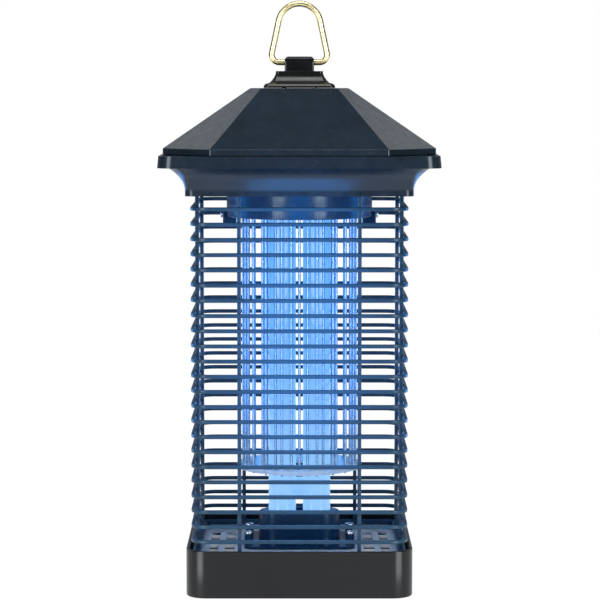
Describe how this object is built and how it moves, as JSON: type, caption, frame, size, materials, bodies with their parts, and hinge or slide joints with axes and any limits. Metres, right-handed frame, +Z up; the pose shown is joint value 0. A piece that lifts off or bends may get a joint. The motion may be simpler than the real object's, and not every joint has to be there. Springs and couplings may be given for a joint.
{
  "type": "electric bug zapper",
  "caption": "Hanging lantern bug zapper: pyramid roof with a wire hanging ring, square barred guard, wire grid round a twin-tube UV lamp, and a pull-off collection tray.",
  "frame": {"origin": "middle of the tray's flat underside", "axes": "+Z up to the hanging ring, -Y out of the front, +X to the right as seen from the front"},
  "size_m": [0.1592, 0.1592, 0.3411],
  "materials": {
    "housing": "dark charcoal moulded plastic, satin to gloss",
    "guard": "dark charcoal moulded bars, satin",
    "inner_plastic": "dark moulded plastic, satin",
    "grate": "grey moulded plate, satin",
    "clear_insulator": "translucent milky insulator",
    "lamp_glass": "coated lamp glass, lit light blue",
    "lamp_cap": "off-white moulded cap",
    "grid_wire": "bright drawn wire",
    "screw": "plated steel",
    "ring_wire": "pale gold plated wire",
    "pin": "bright pins",
    "board": "green circuit board",
    "wound_core": "taped winding",
    "film": "dipped capacitor",
    "component": "dark component case",
    "rubber": "black rubber"
  },
  "bodies": {
    "lantern": {"floor_grate": "grate", "lamp_pedestal": "inner_plastic", "guard_front": "guard", "guard_right": "guard", "guard_rear": "guard", "guard_left": "guard", "head_cornice": "housing", "cord_gland": "rubber", "roof_cover": "housing", "finial": "housing", "lamp_hood": "inner_plastic", "grid_hanger_left": "inner_plastic", "grid_hanger_right": "inner_plastic", "hanger_screw_left": "screw", "hanger_screw_right": "screw", "grid_upper_insulator": "inner_plastic", "grid_lower_ring": "clear_insulator", "live_grid": "grid_wire", "return_grid": "grid_wire", "lamp_tubes": "lamp_glass", "lamp_cap": "lamp_cap", "lamp_pin_1": "pin", "lamp_pin_2": "pin", "lamp_socket": "lamp_cap", "circuit_board": "board", "transformer": "wound_core", "lamp_choke": "component", "supply_terminals": "lamp_cap", "film_capacitor_left": "film", "film_capacitor_right": "film", "smoothing_capacitor_1": "component", "smoothing_capacitor_2": "component", "pedestal_screw_1": "screw", "pedestal_screw_2": "screw", "pedestal_screw_3": "screw", "pedestal_screw_4": "screw", "guard_screw_1": "screw", "guard_screw_2": "screw", "guard_screw_3": "screw", "guard_screw_4": "screw", "roof_screw_1": "screw", "roof_screw_2": "screw", "roof_screw_3": "screw", "roof_screw_4": "screw", "finial_screw_1": "screw", "finial_screw_2": "screw", "socket_screw_1": "screw", "socket_screw_2": "screw", "board_screw_1": "screw", "board_screw_2": "screw", "board_screw_3": "screw", "board_screw_4": "screw"},
    "hanging_ring": {"hanging_ring": "ring_wire"},
    "collection_tray": {"collection_tray": "housing"}
  },
  "joints": [
    {"name": "ring_swing", "type": "hinge", "parent": "lantern", "child": "hanging_ring", "pos_m": [0, 0, 0.3052], "axis": [1, 0, 0], "range_deg": [-100, 100]},
    {"name": "tray_slide", "type": "slide", "parent": "lantern", "child": "collection_tray", "axis": [0, 0, -1], "range_m": [0, 0.035]}
  ]
}
